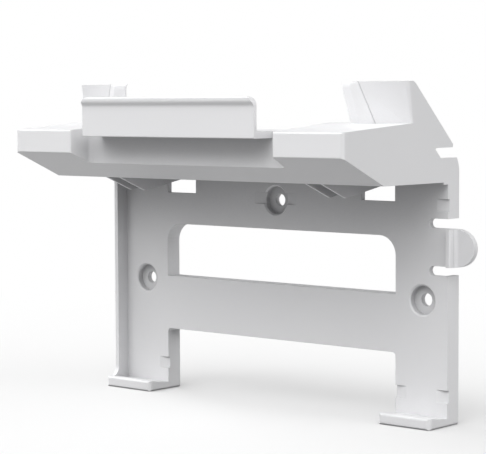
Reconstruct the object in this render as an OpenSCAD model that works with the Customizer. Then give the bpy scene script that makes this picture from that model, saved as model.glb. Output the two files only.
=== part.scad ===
// Wall bracket for a router: a shelf with a hook lip and two ears on top of a plate with a window,
// and a bay below the shelf for a slim unit, held by two feet, a left wall and a snap tongue.
// It is one moulded piece. X runs to the right, Y runs back to the wall and Z runs up.
// The origin is the middle of the footprint, on the surface under the feet.

/* [Plate] */
// Width of the plate and of the shelf, without the left wall
plate_w = 143; // [139:0.2:150]
// Depth of the plate, from its front face to the wall
plate_d = 6.2; // [5.4:0.1:8]
// Thickness of the walls
wall_t = 2; // [1.7:0.1:2.3]
// Width of each leg
leg_w = 20.5; // [19.4:0.1:22]
// Height of the underside of the crossbar
crossbar_z = 22.3; // [18:0.1:26]
// Height of the crossbar
crossbar_h = 19.1; // [15:0.1:20]
// Height of the window above the crossbar
window_h = 19.1; // [16:0.1:20.5]
// Radius of the window's two top corners
window_r = 6.5; // [3:0.5:8]

/* [Screw holes] */
// Radius of the through holes
hole_r = 2.15; // [1.8:0.05:2.6]
// Radius of the well for the screw head
well_r = 4.8; // [4.2:0.1:5.2]
// Depth of the well for the screw head
well_d = 2.7; // [1.6:0.1:3]
// Width of the bevel round the mouth of the well
well_bevel = 0.5; // [0.3:0.1:0.8]
// Thickness of the floor of the well
well_floor = 2; // [1.4:0.1:2.4]
// Height of the two lower holes
low_hole_z = 40.1; // [34:0.1:41]
// Distance between the two lower holes
low_hole_span = 123; // [121:0.2:125]
// Height of the top hole
top_hole_z = 70.5; // [69:0.1:71]

/* [Edge marks] */
// Length of each ramped mark
mark_l = 4.3; // [3:0.1:5]
// Depth of each mark at its deep end
mark_d = 0.9; // [0.5:0.1:1.2]
// Height of each mark
mark_h = 4; // [3:0.1:5]
// Height of the marks on the legs
leg_mark_z = 7.6; // [6:0.1:12]
// Height of the marks beside the top hole
top_mark_z = 69.1; // [68.5:0.1:69.6]

/* [Bay] */
// Height of the underside of the shelf
shelf_z = 78.5; // [77:0.5:84]
// Thickness of the left wall
side_wall_t = 1.6; // [1.2:0.1:2.2]
// Reach of the left wall in front of the plate
side_wall_reach = 4.9; // [3.5:0.1:6]
// Radius where the left wall meets the shelf and the foot
side_wall_r = 3.6; // [2:0.1:4]
// Reach of the feet in front of the plate
foot_reach = 10; // [7:0.1:12]
// Height of the feet at their front edge
foot_h = 3.7; // [3.2:0.1:4.6]
// Height of the feet at the plate
foot_back_h = 2.5; // [2:0.1:3]
// Radius of the long edges under the feet
sole_r = 0.8; // [0.4:0.1:1]
// Width of the slots in the plate under the shelf
slot_w = 13.7; // [10:0.1:15]
// Distance from the middle to the inner end of each slot
slot_x = 37; // [35:0.1:38]
// Height of the slots
slot_h = 6.1; // [4:0.1:6.5]

/* [Snap tongue] */
// Height of the middle of the tongue
tongue_z = 57.6; // [55:0.1:59]
// Width of the tongue
tongue_w = 12.2; // [10:0.2:13]
// Width of the gaps above and below the tongue
tongue_gap = 3.1; // [2.4:0.1:3.6]
// Length of the gaps, from the edge of the plate to their round ends
tongue_l = 7.2; // [4:0.1:8]
// Reach of the catch in front of the plate
catch_reach = 3; // [2:0.1:5]
// Width of the catch at its front
catch_w = 1.8; // [1.4:0.1:2.4]
// Clearance between the edge of the plate and the catch
catch_gap = 0.9; // [0.5:0.1:2]
// Reach of the thumb pad past the edge of the plate
pad_reach = 10; // [8:0.1:12]
// Length over which the end of the thumb pad is rounded
pad_round = 7; // [5:0.1:8]

/* [Shelf] */
// Depth of the shelf in front of the plate
shelf_d = 54.5; // [48:0.1:58]
// Depth of the level part of the underside
under_d = 34.3; // [30:0.1:36]
// Rise of the sloping part of the underside
under_rise = 8.9; // [7:0.1:10]
// Height of the front face
front_h = 7.7; // [6:0.1:9]
// Rise of the seat from its front edge to its back edge
seat_rise = 2.45; // [1.5:0.05:3.5]
// Distance from the plate to the back edge of the seat
seat_back = 18.9; // [18:0.1:20]
// Radius of the upright corners at the front
corner_r = 1.2; // [0.8:0.1:3]
// Half width of the recess at the front of the shelf
recess_x = 44.3; // [42:0.1:46]
// Depth of the recess
recess_d = 8.2; // [6:0.1:9]
// How far the recess narrows for each millimetre of depth
recess_draft = 0.19; // [0:0.01:0.22]
// Height of the centre deck above the front edge of the seat
deck_rise = 0.1; // [0.05:0.05:0.4]
// Thickness of the centre deck
deck_t = 2.2; // [2:0.1:2.8]

/* [Hook lip] */
// Width of the lip
lip_w = 75.2; // [70:0.2:78]
// Reach of the lip in front of the shelf
lip_reach = 0.8; // [0.5:0.1:3]
// Thickness of the lip
lip_t = 1.3; // [1.2:0.1:2.2]
// Height of the lip above the centre deck
lip_h = 10.8; // [8:0.1:14]
// Reach of the bead along the top of the lip
bead_reach = 1; // [0.8:0.1:1.5]
// Height of the bead's front face
bead_h = 1.6; // [1.5:0.1:2.4]
// Height of the slope under the bead
bead_slope_h = 1.2; // [1:0.1:2]
// Radius of the lip's two top corners
lip_corner_r = 3; // [1:0.1:4]

/* [Ears] */
// Height of the ears above the back edge of the seat
ear_h = 13; // [10:0.5:16]
// Thickness of the ears
ear_t = 2; // [1.6:0.1:2.4]
// Forward lean of the ears over their height
ear_lean = 2.6; // [1:0.1:3.5]
// Distance from the back edge of the seat to the front of the ears
ear_set = 0.5; // [0:0.1:1]
// Width of the flat face of an ear at its foot
ear_face_w = 12.3; // [11:0.1:14]
// How much wider that face is at the top
ear_face_flare = 5.4; // [3:0.1:7]
// How far the inner edge of that face stands forward of the outer edge
ear_face_turn = 2.1; // [0:0.1:3]
// Width of the narrow face beside it
ear_fold_w = 5.6; // [4:0.1:7]
// Width of the end face
ear_end_w = 4.5; // [3:0.1:5]
// Height of the open notch in the side panel, above the underside of the shelf
notch_rise = 7.8; // [7:0.1:8.5]
// Height of that notch
notch_h = 3.3; // [2.4:0.1:4]
// Length of that notch, measured from the plate's front face
notch_l = 7.6; // [4:0.1:8]

/* [Fins] */
// Thickness of the fins under the shelf
fin_t = 0.8; // [0.8:0.1:1.6]
// Depth of the fins below the underside
fin_h = 4.9; // [3:0.1:5.5]
// Distance from the back edge of the sloping underside to the tips of the fins
fin_l = 12; // [9:0.1:15]
// Distance from the middle to the inner fin of each pair
fin_x = 41; // [39:0.1:42]
// Distance between the two fins of a pair
fin_gap = 6.4; // [5:0.1:8]

/* [Hidden] */
$fn = 48;

eps = 0.01;
far = 200;
plastic = [0.93, 0.93, 0.94];

half_w = plate_w / 2;
leg_x = half_w - leg_w;
sill_z = crossbar_z + crossbar_h;
lintel_z = sill_z + window_h;
leg_r = 1.3;
boss_wall = 1.8;
step_h = 0.7;
step_d = 2.4;

front_z = shelf_z + under_rise;
seat_z = front_z + front_h;
seat_back_z = seat_z + seat_rise;
seat_slope = seat_rise / (shelf_d - seat_back);
seat_run = 2.9;
deck_z = seat_z + deck_rise;
shelf_floor_z = shelf_z + wall_t;
ear_top_z = seat_back_z + ear_h;
notch_z = shelf_z + notch_rise;

lip_front = -shelf_d - lip_reach;
pad_x = half_w + pad_reach;
tongue_low = tongue_z - tongue_w / 2;
tongue_high = tongue_z + tongue_w / 2;
slot_z = shelf_z - step_h - slot_h;

left_x = -half_w - side_wall_t;
middle_x = (left_x + pad_x) / 2;
middle_y = (lip_front - bead_reach + plate_d) / 2;

// Half width of the recess, and of the centre deck behind it, at the depth y
function edge_x(y) = recess_x - recess_draft * (y + shelf_d);

// Height of the seat at the depth y
function seat_at(y) = seat_z + seat_slope * (y + shelf_d);

// One corner of an outline, rounded to the radius r with n steps
function unit(v) = v / norm(v);
function corner(a, b, c, r, n) = r <= 0 ? [b] :
    let (
        u = unit(a - b),
        v = unit(c - b),
        half = acos(u * v) / 2,
        centre = b + unit(u + v) * r / sin(half),
        start = b + u * r / tan(half) - centre,
        end = b + v * r / tan(half) - centre,
        turn = atan2(cross(start, end), start * end),
        first = atan2(start.y, start.x)
    )
    [for (i = [0:n]) centre + r * [cos(first + turn * i / n), sin(first + turn * i / n)]];

// An outline from points [x, y, radius]
function rounded(points, n = 8) = [
    for (i = [0:len(points) - 1])
        let (
            last = len(points),
            a = points[(i + last - 1) % last],
            b = points[i],
            c = points[(i + 1) % last]
        )
        each corner([a.x, a.y], [b.x, b.y], [c.x, c.y], b.z, n)
];

// Extrudes an outline drawn in Y and Z from x0 to x1
module along_x(x0, x1) {
    translate([x0, 0, 0]) rotate([90, 0, 90]) linear_extrude(x1 - x0) children();
}

// Extrudes an outline drawn in X and Z from y0 to y1
module along_y(y0, y1) {
    translate([0, y1, 0]) rotate([90, 0, 0]) linear_extrude(y1 - y0) children();
}

// Extrudes an outline drawn in X and Y from z0 to z1
module along_z(z0, z1) {
    translate([0, 0, z0]) linear_extrude(z1 - z0) children();
}

// Repeats a shape on both sides of the middle
module both_sides() {
    children();
    mirror([1, 0, 0]) children();
}

// Outline of the plate, seen from the front
module plate_outline() {
    difference() {
        translate([-half_w, 0]) square([plate_w, shelf_floor_z]);
        polygon(rounded([
            [-leg_x, sill_z, 0],
            [leg_x, sill_z, 0],
            [leg_x, lintel_z, window_r],
            [-leg_x, lintel_z, window_r]
        ]));
        polygon(rounded([
            [-leg_x, -far, 0],
            [leg_x, -far, 0],
            [leg_x, crossbar_z, leg_r],
            [-leg_x, crossbar_z, leg_r]
        ]));
    }
}

// The hollows in the back of the plate, which leave a rim round every edge
module back_hollows() {
    along_y(wall_t, far) {
        both_sides() translate([leg_x + wall_t, foot_back_h])
            square([leg_w - 2 * wall_t, shelf_z - foot_back_h]);
        translate([-leg_x - wall_t - eps, crossbar_z + wall_t])
            square([2 * (leg_x + wall_t + eps), crossbar_h - 2 * wall_t]);
        translate([-leg_x - wall_t - eps, lintel_z + wall_t])
            square([2 * (leg_x + wall_t + eps), shelf_z - lintel_z - wall_t]);
    }
}

// Places a shape, drawn at the origin, at each of the three screw holes
module at_holes() {
    for (place = [[-low_hole_span / 2, low_hole_z], [low_hole_span / 2, low_hole_z], [0, top_hole_z]])
        translate([place.x, 0, place.y]) rotate([-90, 0, 0]) children();
}

// The wall round the well of a screw hole
module hole_boss() {
    cylinder(r = well_r + boss_wall, h = well_d + well_floor);
}

// The stepped hole for a screw: a bevelled mouth, a well for the head and the through hole
module screw_hole() {
    translate([0, 0, -eps]) cylinder(r1 = well_r + well_bevel + eps, r2 = well_r, h = well_bevel + eps);
    cylinder(r = well_r, h = well_d);
    cylinder(r = hole_r, h = well_d + well_floor + 1);
}

// A mark that is deepest at x = 0 and fades out to the right
module ramp_mark(z) {
    along_z(z, z + mark_h)
        polygon([[-1, -1], [-1, mark_d], [0, mark_d], [mark_l, 0], [mark_l, -1]]);
}

module edge_marks() {
    both_sides() translate([leg_x, 0, 0]) ramp_mark(leg_mark_z);
    translate([half_w, 0, 0]) mirror([1, 0, 0]) {
        ramp_mark(leg_mark_z);
        ramp_mark(top_mark_z);
    }
    both_sides() translate([well_r, 0, 0]) ramp_mark(top_mark_z);
}

module slots() {
    both_sides() translate([slot_x, -far, slot_z]) cube([slot_w, far + wall_t + eps, slot_h]);
}

module plate() {
    difference() {
        union() {
            difference() {
                along_y(0, plate_d) plate_outline();
                back_hollows();
            }
            at_holes() hole_boss();
        }
        at_holes() screw_hole();
        edge_marks();
        slots();
    }
}

// A foot: its top rises to the front, so that it holds the unit that stands on it
module foot(x0, x1) {
    plan_r = 1.6;
    intersection() {
        along_x(x0, x1) polygon(rounded([
            [plate_d, 0, 0],
            [-foot_reach, 0, sole_r],
            [-foot_reach, foot_h, 0.8],
            [-foot_reach + 1.4, foot_h, 0.4],
            [0, foot_back_h, 0],
            [plate_d, foot_back_h, 0]
        ], 5));
        along_z(-1, foot_h + 1) polygon(rounded([
            [x0, plate_d, 0],
            [x0, -foot_reach, plan_r],
            [x1, -foot_reach, plan_r],
            [x1, plate_d, 0]
        ], 5));
    }
}

// What is cut away to round the long edges under the feet, drawn from the edge at x = 0
module sole_edge() {
    along_y(-far, far) difference() {
        translate([-1, -1]) square(sole_r + 1);
        translate([sole_r, sole_r]) circle(sole_r);
    }
}

module sole_edges() {
    for (x = [left_x, leg_x]) translate([x, 0, 0]) sole_edge();
    for (x = [-leg_x, half_w]) translate([x, 0, 0]) mirror([1, 0, 0]) sole_edge();
}

// The left wall of the bay, with a sweep into the foot and into the shelf
module side_wall() {
    flare = side_wall_reach + side_wall_r;
    along_x(left_x, -half_w) polygon(rounded([
        [plate_d, 0, 0],
        [-flare, 0, 0],
        [-flare, foot_back_h + 0.9, 0],
        [-side_wall_reach, foot_back_h + 0.9, side_wall_r - 0.1],
        [-side_wall_reach, shelf_z, side_wall_r - 0.1],
        [-flare, shelf_z, 0],
        [-flare, shelf_floor_z, 0],
        [plate_d, shelf_floor_z, 0]
    ]));
}

// The two gaps that free the tongue, and the rim between them
module tongue_gaps() {
    root_x = half_w - tongue_l;
    gap_r = tongue_gap / 2;
    along_y(-far, far) {
        for (z = [tongue_low - tongue_gap, tongue_high])
            polygon(rounded([
                [root_x, z, gap_r - eps],
                [far, z, 0],
                [far, z + tongue_gap, 0],
                [root_x, z + tongue_gap, gap_r - eps]
            ]));
    }
    translate([root_x, wall_t, tongue_low - eps]) cube([far, far, tongue_w + 2 * eps]);
}

// The tongue with its catch and its thumb pad
module snap_tongue() {
    catch_x = half_w + catch_gap;
    catch_end = catch_x + catch_w;
    fillet_r = 1.2;
    intersection() {
        along_z(tongue_low, tongue_high) polygon([
            [half_w - tongue_l, 0],
            [catch_x, 0],
            [catch_x, -catch_reach + 0.4],
            [catch_x + 0.3, -catch_reach],
            [catch_end - 0.3, -catch_reach],
            [catch_end, -catch_reach + 0.4],
            [catch_end + 0.2, -fillet_r],
            for (i = [0:6])
                [catch_end + 0.3 + fillet_r * (1 - cos(15 * i)), -fillet_r * (1 - sin(15 * i))],
            [pad_x, 0],
            [pad_x, wall_t],
            [half_w - tongue_l, wall_t]
        ]);
        along_y(-far, far) polygon([
            [half_w - tongue_l - 1, tongue_high],
            [half_w - tongue_l - 1, tongue_low],
            for (turn = [-90:7.5:90])
                [pad_x - pad_round * (1 - cos(turn)), tongue_z + tongue_w / 2 * sin(turn)]
        ]);
    }
}

// The side of the shelf, without its hollow, with a slope behind the seat
module shelf_profile() {
    polygon(rounded([
        [-shelf_d, seat_z, 0.6],
        [-shelf_d, front_z, 0.5],
        [-under_d, shelf_z, 0.5],
        [-step_d, shelf_z, 0],
        [-step_d, shelf_z - step_h, 0],
        [plate_d, shelf_z - step_h, 0],
        [plate_d, shelf_floor_z, 0],
        [wall_t, shelf_floor_z, 0],
        [seat_run - seat_back, seat_back_z, 0.6],
        [-seat_back, seat_back_z, 0]
    ]));
}

// The front of the shelf seen from above, with the recess between the wings
module shelf_plan() {
    back = -shelf_d + recess_d;
    polygon(rounded([
        [-half_w, plate_d, 0],
        [-half_w, -shelf_d, corner_r],
        [-recess_x, -shelf_d, 0.6],
        [-edge_x(back), back, 1.8],
        [edge_x(back), back, 1.8],
        [recess_x, -shelf_d, 0.6],
        [half_w, -shelf_d, corner_r],
        [half_w, plate_d, 0]
    ]));
}

// Everything above the level centre deck, between the two raised wing decks
module above_deck() {
    along_z(deck_z, far) polygon([
        [-edge_x(-shelf_d), -shelf_d],
        [edge_x(-shelf_d), -shelf_d],
        [edge_x(far / 10), far / 10],
        [-edge_x(far / 10), far / 10]
    ]);
}

// The hollow of one wing, open at the back
module wing_hollow() {
    front = -shelf_d + wall_t;
    seat_end = seat_run - seat_back;
    intersection() {
        along_x(0, half_w - wall_t) polygon([
            [front, seat_at(front) - wall_t],
            [front, front_z + 0.6],
            [-under_d + 0.4, shelf_floor_z],
            [far, shelf_floor_z],
            [far, far],
            [seat_end, far],
            [seat_end, seat_at(seat_end) - wall_t]
        ]);
        along_z(0, far) polygon([
            [edge_x(front) + wall_t, front],
            [half_w, front],
            [half_w, far / 10],
            [edge_x(far / 10) + wall_t, far / 10]
        ]);
    }
}

// The hollow under the centre deck, open at the back
module centre_hollow() {
    front = -shelf_d + recess_d + wall_t;
    seat_end = seat_run - seat_back;
    under_slope = under_rise / (shelf_d - under_d);
    intersection() {
        along_x(-half_w, half_w) polygon([
            [front, deck_z - deck_t],
            [front, shelf_floor_z + under_slope * (-under_d - front)],
            [-under_d + 0.4, shelf_floor_z],
            [far, shelf_floor_z],
            [far, far],
            [seat_end, far],
            [seat_end, deck_z - deck_t]
        ]);
        along_z(0, far) polygon([
            [-edge_x(front), front],
            [edge_x(front), front],
            [edge_x(far / 10), far / 10],
            [-edge_x(far / 10), far / 10]
        ]);
    }
}

module shelf() {
    difference() {
        intersection() {
            along_x(-half_w, half_w) shelf_profile();
            along_z(0, far) shelf_plan();
        }
        above_deck();
        both_sides() wing_hollow();
        centre_hollow();
    }
}

// The side panel behind and above the shelf, from x0 to x1
module side_panel(x0, x1) {
    gusset_drop = 1.8;
    along_x(x0, x1) polygon(rounded([
        [-seat_back - 4, shelf_z, 0],
        [-seat_back - 4, seat_at(-seat_back - 4) - 0.4, 0],
        [-seat_back + 1.2, seat_back_z - 0.4, 0],
        [-seat_back - ear_lean + 1.6, ear_top_z, 0],
        [-seat_back - ear_lean + 3, ear_top_z, 3],
        [2.7, notch_z + notch_h + 1, 0.4],
        [2.4, notch_z + notch_h, 0.3],
        [-notch_l, notch_z + notch_h, notch_h / 2 - eps],
        [-notch_l, notch_z, notch_h / 2 - eps],
        [plate_d - 1.3, notch_z, 0.3],
        [plate_d - 0.5, notch_z - gusset_drop, 0.5],
        [plate_d, notch_z - 2 * gusset_drop, 1],
        [plate_d, shelf_z - step_h, 0],
        [0, shelf_z - step_h, 0],
        [0, shelf_z, 0]
    ]));
}

// One level of an ear seen from above: s is 0 at the foot and 1 at the top, and tuck pulls its
// ridge back where the top edge is rounded
function ear_ring(s, tuck) =
    let (
        edge_r = 0.7 + 0.8 * s,
        outer = -seat_back - ear_set - ear_lean * s,
        face_x = half_w - ear_face_w - ear_face_flare * s,
        fold_x = face_x - ear_fold_w + 2.7 * s,
        end_x = fold_x - ear_end_w + 0.4 * s,
        face_y = outer - ear_face_turn,
        ridge_y = face_y - 1 + tuck,
        end_y = ridge_y + 1.4,
        crease = [face_x, face_y],
        crease_r = 0.25,
        face_way = unit([half_w - edge_r, outer] - crease),
        fold_way = unit([fold_x, ridge_y] - crease)
    )
    [
        for (i = [0:4]) [half_w - edge_r + edge_r * cos(22.5 * i), outer + edge_r - edge_r * sin(22.5 * i)],
        crease + crease_r * face_way,
        crease + [0, crease_r],
        crease + crease_r * fold_way,
        [fold_x, ridge_y],
        [end_x, end_y],
        [end_x + 0.6 * ear_t, end_y + 0.75 * ear_t],
        [fold_x, ridge_y + 1.05 * ear_t],
        [face_x, face_y + ear_t],
        [half_w - wall_t, outer + ear_t + 0.4],
        [half_w, outer + ear_t + 0.4]
    ];

// The right ear: a folded upright face that leans forward over the seat
module ear() {
    foot_z = seat_back_z - 1.4;
    levels = [[0, 0], [0.88, 0], [0.95, 0.2], [0.985, 0.5], [1, 0.9]];
    count = len(ear_ring(0, 0));
    rise = ear_top_z - foot_z;
    points = [
        for (level = levels)
            let (ring = ear_ring(level[0], level[1]))
            for (i = [0:count - 1]) [ring[i].x, ring[i].y, foot_z + rise * level[0]]
    ];
    top = (len(levels) - 1) * count;
    faces = [
        [for (i = [0:count - 1]) count - 1 - i],
        [for (i = [0:count - 1]) top + i],
        for (level = [0:len(levels) - 2]) for (i = [0:count - 1])
            let (
                a = level * count + i,
                b = level * count + (i + 1) % count
            )
            each [[a, b, b + count], [a, b + count, a + count]]
    ];
    polyhedron(points, faces);
}

// The hook lip at the front of the centre deck, with a bead along its top
module hook_lip() {
    top_z = deck_z + lip_h;
    bead_front = lip_front - bead_reach;
    back = lip_front + lip_t;
    cove_r = 1.6;
    intersection() {
        union() {
            along_x(-lip_w / 2, lip_w / 2) polygon(rounded([
                [lip_front, deck_z - deck_t, 0.3],
                [lip_front, top_z - bead_h - bead_slope_h, cove_r],
                [bead_front, top_z - bead_h, cove_r],
                [bead_front, top_z, 0.6],
                [back, top_z, 0.5],
                [back, deck_z, 0],
                [back, deck_z - deck_t, 0]
            ], 5));
            translate([-lip_w / 2, lip_front + 0.5, deck_z - deck_t])
                cube([lip_w, recess_d + lip_reach, deck_t]);
        }
        along_y(-far, far) polygon(rounded([
            [-lip_w / 2, 0, 0],
            [lip_w / 2, 0, 0],
            [lip_w / 2, top_z, lip_corner_r],
            [-lip_w / 2, top_z, lip_corner_r]
        ]));
    }
}

// A thin fin below the shelf, from the sloping underside back to the slot
module fin(x) {
    along_x(x - fin_t / 2, x + fin_t / 2) polygon(rounded([
        [-under_d, shelf_z + 0.5, 0],
        [-under_d, shelf_z, 0],
        [fin_l - under_d, shelf_z - fin_h, 1],
        [0.5, shelf_z - 1, 0],
        [0.5, shelf_z + 0.5, 0]
    ], 5));
}

module fins() {
    both_sides() for (x = [fin_x, fin_x + fin_gap]) fin(x);
}

module bracket() {
    color(plastic) translate([-middle_x, -middle_y, 0]) {
        difference() {
            union() {
                plate();
                side_wall();
                shelf();
                foot(leg_x, half_w);
                foot(left_x, -leg_x);
            }
            tongue_gaps();
            sole_edges();
        }
        snap_tongue();
        side_panel(half_w - wall_t, half_w);
        side_panel(left_x, left_x + wall_t);
        ear();
        translate([left_x + half_w, 0, 0]) mirror([1, 0, 0]) ear();
        hook_lip();
        fins();
    }
}

bracket();
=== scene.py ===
"""Looks, floor, lamps and camera for a moulded wall stand that holds a router.

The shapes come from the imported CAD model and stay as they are. This file gives them their plastic, whose
shading rounds the sharp edges as a mould does, and sets the stage. It is laid out as an add-on and is run
as a script.
"""

import math

import bpy
from bpy.props import FloatProperty, PointerProperty, StringProperty
from mathutils import Matrix, Vector

bl_info = {
    "name": "Router Stand",
    "version": (1, 0, 0),
    "blender": (4, 5, 0),
    "location": "3D Viewport > Sidebar > Stand",
    "description": "Finishes a moulded router stand and sets it on a studio floor",
    "category": "Object",
}

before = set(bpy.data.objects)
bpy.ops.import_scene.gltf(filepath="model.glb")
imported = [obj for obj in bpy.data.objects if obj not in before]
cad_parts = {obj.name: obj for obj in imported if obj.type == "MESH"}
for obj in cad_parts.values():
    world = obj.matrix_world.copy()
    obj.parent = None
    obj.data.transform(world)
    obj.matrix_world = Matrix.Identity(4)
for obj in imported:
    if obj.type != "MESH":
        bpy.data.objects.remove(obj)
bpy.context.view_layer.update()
BRACKET = "bracket"
MM = 0.001
WHITE = (1.0, 1.0, 1.0, 1.0)

# The photograph's view, in metres in the part's frame
CAMERA_PLACE = (0.3916, -0.4494, 0.1042)
CAMERA_TARGET = (-0.01899, 0.02505, 0.06064)
CAMERA_ROLL_DEG = -0.234
SENSOR_MM = 36.0
CLIP_START = 0.01
CLIP_END = 200.0

# Soft lamps: name, degrees above the floor, degrees round to the right from the front, and the level
# that each alone gives a white face turned towards it
LAMPS = (
    ("front_high", 48, 0, 0.35),
    ("key_right", 48, 45, 0.26),
    ("key_left", 48, -45, 0.23),
    ("front_low", 26, 30, 0.08),
    ("right_side", 26, 92, 0.285),
    ("left_side", 26, -88, 0.62),
)
# Strength of a sun lamp that gives such a face a level of 1
SUN_FOR_WHITE = math.pi

# Half the width of the paper floor, and how far it lies under the feet, in metres
FLOOR_HALF = 30.0
FLOOR_DROP = 0.02 * MM

# Refraction of ABS, and how far the grain moves its roughness up and down
ABS_IOR = 1.53
ROUGHNESS_BAND = 0.04

# How finely the flow marks, the grain and the sink waves break up
FLOW_NOISE = {"Detail": 2.0, "Roughness": 0.45}
GRAIN_NOISE = {"Detail": 3.0, "Roughness": 0.6}
WAVE_NOISE = {"Detail": 1.0, "Roughness": 0.5}

# How clearly the sink waves and the grain show in the skin, and how deep they are in metres
WAVE_RELIEF = {"Strength": 0.06, "Distance": 0.3 * MM}
GRAIN_RELIEF = {"Strength": 0.10, "Distance": 0.05 * MM}

# How far a face's look for the overhangs that set its painted shade is tilted upwards, and the heights of
# its normal between which that tilt comes in, where -1 is a face that looks straight down
LOOK_TILT = 0.8
TILT_STARTS = -0.3
TILT_FULL = -0.05

# How open a face is where it has all of the painted shade under overhangs, and where it has none
OPEN_NONE = 0.05
OPEN_FULL = 0.68

# Rays that look for overhangs and for edges at each point
OPEN_RAYS = 8
EDGE_RAYS = 6


def linear(hex_colour):
    """An sRGB hex colour as the linear RGBA that a shader takes."""
    parts = [int(hex_colour[i : i + 2], 16) / 255 for i in (1, 3, 5)]
    return tuple(
        p / 12.92 if p <= 0.04045 else ((p + 0.055) / 1.055) ** 2.4 for p in parts
    ) + (1.0,)


def add_node(tree, kind, links=None, values=None, **properties):
    """Adds a node with its properties, its inputs' values, and links from outputs to its inputs."""
    node = tree.nodes.new(kind)
    for name, value in properties.items():
        setattr(node, name, value)
    for name, value in (values or {}).items():
        node.inputs[name].default_value = value
    for name, socket in (links or {}).items():
        tree.links.new(socket, node.inputs[name])
    return node


def new_material(name):
    """An empty node material, with its tree."""
    material = bpy.data.materials.new(name)
    material.use_nodes = True
    material.node_tree.nodes.clear()
    return material, material.node_tree


def scale_for(size_mm):
    """The scale of a noise, in metres, whose features are about this many millimetres wide."""
    return 1.0 / (size_mm * MM)


def look_up(tree):
    """The direction in which a face looks for what hangs over it: its normal, tilted upwards unless the
    face itself looks down."""
    normal = add_node(tree, "ShaderNodeNewGeometry").outputs["Normal"]
    parts = add_node(tree, "ShaderNodeSeparateXYZ", {"Vector": normal})
    tilt = add_node(
        tree,
        "ShaderNodeMapRange",
        {"Value": parts.outputs["Z"]},
        {"From Min": TILT_STARTS, "From Max": TILT_FULL, "To Min": 0.0, "To Max": LOOK_TILT},
    )
    upward = add_node(tree, "ShaderNodeCombineXYZ", {"Z": tilt.outputs["Result"]})
    return add_node(
        tree,
        "ShaderNodeVectorMath",
        {0: normal, 1: upward.outputs["Vector"]},
        operation="ADD",
    ).outputs["Vector"]


def openness(tree, finish):
    """How open a face is, from 0 close under an overhang to 1 with nothing over it, for the painted shade.
    """
    open_face = add_node(
        tree,
        "ShaderNodeAmbientOcclusion",
        {"Normal": look_up(tree)},
        {"Distance": finish.painted_shade_reach},
        samples=OPEN_RAYS,
    )
    return add_node(
        tree,
        "ShaderNodeMapRange",
        {"Value": open_face.outputs["AO"]},
        {"From Min": OPEN_NONE, "From Max": OPEN_FULL},
    ).outputs["Result"]


def tone_and_painted_shade(tree, finish, place):
    """The plastic's colour: two close whites that the melt left as it flowed, and painted shade under
    overhangs.
    """
    flow = add_node(
        tree,
        "ShaderNodeTexNoise",
        {"Vector": place},
        {"Scale": scale_for(finish.flow_mm), **FLOW_NOISE},
    )
    tone = add_node(
        tree,
        "ShaderNodeMix",
        {"Factor": flow.outputs["Fac"]},
        {"A": linear(finish.shade_hex), "B": linear(finish.colour_hex)},
        data_type="RGBA",
    )
    # Painted shade: the colour goes towards a grey close under overhangs, where less light arrives
    return add_node(
        tree,
        "ShaderNodeMix",
        {"Factor": openness(tree, finish), "B": tone.outputs["Result"]},
        {"A": linear(finish.painted_shade_hex)},
        data_type="RGBA",
    ).outputs["Result"]


def moulded_skin(tree, finish, place):
    """The skin's roughness and normal: a fine grain over slow sink waves, and edges that look rounded."""
    grain = add_node(
        tree,
        "ShaderNodeTexNoise",
        {"Vector": place},
        {"Scale": scale_for(finish.grain_mm), **GRAIN_NOISE},
    ).outputs["Fac"]
    gloss = add_node(
        tree,
        "ShaderNodeMapRange",
        {"Value": grain},
        {"To Min": finish.roughness - ROUGHNESS_BAND, "To Max": finish.roughness + ROUGHNESS_BAND},
    )
    waves = add_node(
        tree,
        "ShaderNodeTexNoise",
        {"Vector": place},
        {"Scale": scale_for(finish.wave_mm), **WAVE_NOISE},
    )
    edge = add_node(
        tree,
        "ShaderNodeBevel",
        values={"Radius": finish.edge_radius},
        samples=EDGE_RAYS,
    )
    sunk = add_node(
        tree,
        "ShaderNodeBump",
        {"Height": waves.outputs["Fac"], "Normal": edge.outputs["Normal"]},
        WAVE_RELIEF,
    )
    skin = add_node(
        tree,
        "ShaderNodeBump",
        {"Height": grain, "Normal": sunk.outputs["Normal"]},
        GRAIN_RELIEF,
    )
    return gloss.outputs["Result"], skin.outputs["Normal"]


def satin_abs(finish):
    """White ABS, injection moulded in a spark eroded tool: an even, dense white that scatters light
    widely, with a faint soft sheen, a fine grain and slow waves where the thick places sank. Shade is
    painted into its colour close under overhangs."""
    material, tree = new_material("Satin moulded white ABS")
    place = add_node(tree, "ShaderNodeTexCoord").outputs["Object"]
    roughness, normal = moulded_skin(tree, finish, place)
    plastic = add_node(
        tree,
        "ShaderNodeBsdfPrincipled",
        {"Base Color": tone_and_painted_shade(tree, finish, place), "Roughness": roughness, "Normal": normal},
        {"IOR": ABS_IOR, "Metallic": 0.0},
    )
    add_node(tree, "ShaderNodeOutputMaterial", {"Surface": plastic.outputs["BSDF"]})
    return material


def whiteness(tree, stage):
    """How much of the paper is plain white: least by the feet, some near the stand, and all far away."""
    place = add_node(tree, "ShaderNodeTexCoord").outputs["Object"]
    distance = add_node(tree, "ShaderNodeVectorMath", {0: place}, operation="LENGTH")
    faded = add_node(
        tree,
        "ShaderNodeMapRange",
        {"Value": distance.outputs["Value"]},
        {
            "From Min": stage.fade_start,
            "From Max": stage.fade_end,
            "To Min": 1.0 - stage.shadow_depth,
            "To Max": 1.0,
        },
        interpolation_type="SMOOTHSTEP",
    )
    open_floor = add_node(
        tree,
        "ShaderNodeAmbientOcclusion",
        values={"Distance": stage.contact_width},
        samples=OPEN_RAYS,
    )
    return add_node(
        tree,
        "ShaderNodeMath",
        {0: faded.outputs["Result"], 1: open_floor.outputs["AO"]},
        operation="MULTIPLY",
    ).outputs["Value"]


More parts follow.
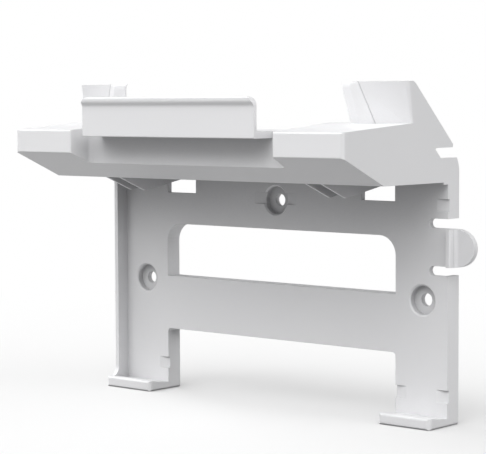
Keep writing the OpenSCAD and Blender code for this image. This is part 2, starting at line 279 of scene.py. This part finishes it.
def studio_paper(stage):
    """Matt white background paper. The camera and the gloss see it white with a pale soft shadow near
    the stand; the light that it sends up into the stand is that of a grey floor."""
    material, tree = new_material("Matt white background paper")
    shaded = add_node(tree, "ShaderNodeBsdfDiffuse", values={"Color": linear(stage.paper_hex)})
    white = add_node(tree, "ShaderNodeEmission", values={"Color": WHITE, "Strength": 1.0})
    bounce = add_node(tree, "ShaderNodeBsdfDiffuse", values={"Color": linear(stage.bounce_hex)})
    paper = add_node(
        tree,
        "ShaderNodeMixShader",
        {0: whiteness(tree, stage), 1: shaded.outputs["BSDF"], 2: white.outputs["Emission"]},
    )
    rays = add_node(tree, "ShaderNodeLightPath")
    seen = add_node(
        tree,
        "ShaderNodeMath",
        {0: rays.outputs["Is Camera Ray"], 1: rays.outputs["Is Glossy Ray"]},
        operation="MAXIMUM",
    )
    mixed = add_node(
        tree,
        "ShaderNodeMixShader",
        {0: seen.outputs["Value"], 1: bounce.outputs["BSDF"], 2: paper.outputs["Shader"]},
    )
    add_node(tree, "ShaderNodeOutputMaterial", {"Surface": mixed.outputs["Shader"]})
    return material


def studio_room(stage):
    """A world of even light from all round, which the camera sees as plain white."""
    world = bpy.data.worlds.new("Studio room")
    world.use_nodes = True
    tree = world.node_tree
    tree.nodes.clear()
    rays = add_node(tree, "ShaderNodeLightPath")
    room = add_node(
        tree,
        "ShaderNodeBackground",
        values={"Color": WHITE, "Strength": stage.sky_strength},
    )
    white = add_node(tree, "ShaderNodeBackground", values={"Color": WHITE, "Strength": 1.0})
    mixed = add_node(
        tree,
        "ShaderNodeMixShader",
        {
            0: rays.outputs["Is Camera Ray"],
            1: room.outputs["Background"],
            2: white.outputs["Background"],
        },
    )
    add_node(tree, "ShaderNodeOutputWorld", {"Surface": mixed.outputs["Shader"]})
    return world


class StandFinish(bpy.types.PropertyGroup):
    """The plastic and its edges."""

    edge_radius: FloatProperty(
        name="Edge radius",
        description="Radius that the mould leaves on the sharp edges",
        default=0.18 * MM,
        min=0.05 * MM,
        max=0.6 * MM,
        precision=5,
        subtype="DISTANCE",
        unit="LENGTH",
    )
    colour_hex: StringProperty(
        name="Plastic colour",
        description="Colour of the plastic, as an sRGB hex value",
        default="#E9E9EA",
    )
    shade_hex: StringProperty(
        name="Plastic shade",
        description="Slightly darker colour where the melt flowed together",
        default="#E5E5E7",
    )
    # Painted shade: the grey painted into the plastic's colour close under overhangs, and how far it
    # reaches
    painted_shade_hex: StringProperty(
        name="Painted shade under overhangs",
        description="Colour that the plastic takes close under an overhang, where less light arrives",
        default="#A5A5A7",
    )
    painted_shade_reach: FloatProperty(
        name="Overhang reach",
        description="Distance over which an overhang has that effect",
        default=24 * MM,
        subtype="DISTANCE",
        unit="LENGTH",
    )
    roughness: FloatProperty(
        name="Roughness",
        description="Roughness of the spark eroded skin",
        default=0.5,
        min=0.2,
        max=0.8,
    )
    grain_mm: FloatProperty(
        name="Grain",
        description="Width of the skin's grain in millimetres, drawn coarser than real to show",
        default=0.6,
        min=0.2,
        max=2.0,
    )
    flow_mm: FloatProperty(
        name="Flow marks",
        description="Width of the slow changes of tone, in millimetres",
        default=35.0,
        min=10.0,
        max=80.0,
    )
    wave_mm: FloatProperty(
        name="Sink waves",
        description="Width of the slow waves in the faces, in millimetres",
        default=18.0,
        min=5.0,
        max=60.0,
    )


class StandStage(bpy.types.PropertyGroup):
    """The floor, the lamps and the camera."""

    paper_hex: StringProperty(
        name="Paper",
        description="Colour of the paper that just reaches white under all the lamps",
        default="#E2E2E2",
    )
    bounce_hex: StringProperty(
        name="Floor bounce",
        description="Grey of the light that the floor sends up, as an sRGB hex value",
        default="#989898",
    )
    shadow_depth: FloatProperty(
        name="Shadow depth",
        description="Share of the stand's shadow that shows on the floor",
        default=0.65,
        min=0.0,
        max=1.0,
        subtype="FACTOR",
    )
    contact_width: FloatProperty(
        name="Contact width",
        description="Distance from the feet within which the floor shows more of the shadow",
        default=14 * MM,
        subtype="DISTANCE",
        unit="LENGTH",
    )
    fade_start: FloatProperty(
        name="Plain from",
        description="Distance at which the floor's shadow starts to fade out",
        default=0.12,
        subtype="DISTANCE",
        unit="LENGTH",
    )
    fade_end: FloatProperty(
        name="Plain at",
        description="Distance at which the floor is plain white",
        default=0.4,
        subtype="DISTANCE",
        unit="LENGTH",
    )
    lens_mm: FloatProperty(
        name="Lens",
        description="Focal length of the camera in millimetres",
        default=133.22,
    )
    lamp_level: FloatProperty(
        name="Lamps",
        description="Strength of all the soft lamps together, where 1 is the photograph's level",
        default=1.0,
    )
    lamp_width: FloatProperty(
        name="Lamp width",
        description="How large each lamp looks from the stand",
        default=math.radians(50),
        subtype="ANGLE",
    )
    sky_strength: FloatProperty(
        name="Room light",
        description="Strength of the even light from all round",
        default=0.22,
    )


class STAND_OT_bracket(bpy.types.Operator):
    """Gives the moulded bracket its plastic, whose shading rounds the edges"""

    bl_idname = "stand.bracket"
    bl_label = "Moulded Bracket"

    def execute(self, context):
        """Finishes the CAD node, which keeps its place and shape."""
        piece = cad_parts[BRACKET]
        piece.data.materials.clear()
        piece.data.materials.append(satin_abs(context.scene.stand_finish))
        return {"FINISHED"}


class STAND_OT_stage(bpy.types.Operator):
    """Adds the paper floor, the soft studio light and the camera"""

    bl_idname = "stand.stage"
    bl_label = "Studio Stage"

    def execute(self, context):
        """Builds the stage round the stand."""
        scene = context.scene
        stage = scene.stand_stage
        self.add_floor(scene, stage)
        self.add_lamps(scene, stage)
        self.add_camera(scene, stage)
        scene.world = studio_room(stage)
        scene.view_settings.view_transform = "Standard"
        return {"FINISHED"}

    def add_floor(self, scene, stage):
        """A plane under the feet, far wider than the view."""
        corners = [(x * FLOOR_HALF, y * FLOOR_HALF, 0) for x, y in ((-1, -1), (1, -1), (1, 1), (-1, 1))]
        mesh = bpy.data.meshes.new("paper_floor")
        mesh.from_pydata(corners, [], [(0, 1, 2, 3)])
        mesh.materials.append(studio_paper(stage))
        floor = bpy.data.objects.new("paper_floor", mesh)
        floor.location.z = -FLOOR_DROP
        scene.collection.objects.link(floor)

    def add_lamps(self, scene, stage):
        """Soft lamps above and round the stand."""
        for name, height, turn, level in LAMPS:
            lamp = bpy.data.lights.new(name, "SUN")
            lamp.energy = level * stage.lamp_level * SUN_FOR_WHITE
            lamp.angle = stage.lamp_width
            rise = math.radians(height)
            side = math.radians(turn)
            away = Vector(
                (
                    math.sin(side) * math.cos(rise),
                    -math.cos(side) * math.cos(rise),
                    math.sin(rise),
                )
            )
            holder = bpy.data.objects.new(name, lamp)
            holder.rotation_mode = "QUATERNION"
            holder.rotation_quaternion = away.to_track_quat("Z", "Y")
            scene.collection.objects.link(holder)

    def add_camera(self, scene, stage):
        """The camera at the photograph's place, with its small roll."""
        lens = bpy.data.cameras.new("camera")
        lens.lens = stage.lens_mm
        lens.sensor_width = SENSOR_MM
        lens.clip_start = CLIP_START
        lens.clip_end = CLIP_END
        back = (Vector(CAMERA_PLACE) - Vector(CAMERA_TARGET)).normalized()
        right = Vector((0, 0, 1)).cross(back).normalized()
        up = back.cross(right)
        roll = math.radians(CAMERA_ROLL_DEG)
        across = right * math.cos(roll) + up * math.sin(roll)
        upward = up * math.cos(roll) - right * math.sin(roll)
        turn = Matrix((across, upward, back)).transposed()
        camera = bpy.data.objects.new("camera", lens)
        camera.matrix_world = Matrix.Translation(CAMERA_PLACE) @ turn.to_4x4()
        scene.collection.objects.link(camera)
        scene.camera = camera


class STAND_PT_panel(bpy.types.Panel):
    """Lists the steps and their values"""

    bl_idname = "STAND_PT_panel"
    bl_label = "Router Stand"
    bl_space_type = "VIEW_3D"
    bl_region_type = "UI"
    bl_category = "Stand"

    def draw(self, context):
        """Draws the values above the step that uses them."""
        for values, step in (
            (context.scene.stand_finish, STAND_OT_bracket),
            (context.scene.stand_stage, STAND_OT_stage),
        ):
            box = self.layout.box()
            for name in values.bl_rna.properties.keys():
                if name not in ("rna_type", "name"):
                    box.prop(values, name)
            box.operator(step.bl_idname)


CLASSES = (StandFinish, StandStage, STAND_OT_bracket, STAND_OT_stage, STAND_PT_panel)


def register():
    """Registers the classes and hangs the values on the scene."""
    for item in CLASSES:
        bpy.utils.register_class(item)
    bpy.types.Scene.stand_finish = PointerProperty(type=StandFinish)
    bpy.types.Scene.stand_stage = PointerProperty(type=StandStage)


def unregister():
    """Takes the values and the classes away again."""
    del bpy.types.Scene.stand_stage
    del bpy.types.Scene.stand_finish
    for item in reversed(CLASSES):
        bpy.utils.unregister_class(item)


def main():
    """Builds the stand's looks and its stage."""
    register()
    bpy.ops.stand.bracket()
    bpy.ops.stand.stage()


if __name__ == "__main__":
    main()
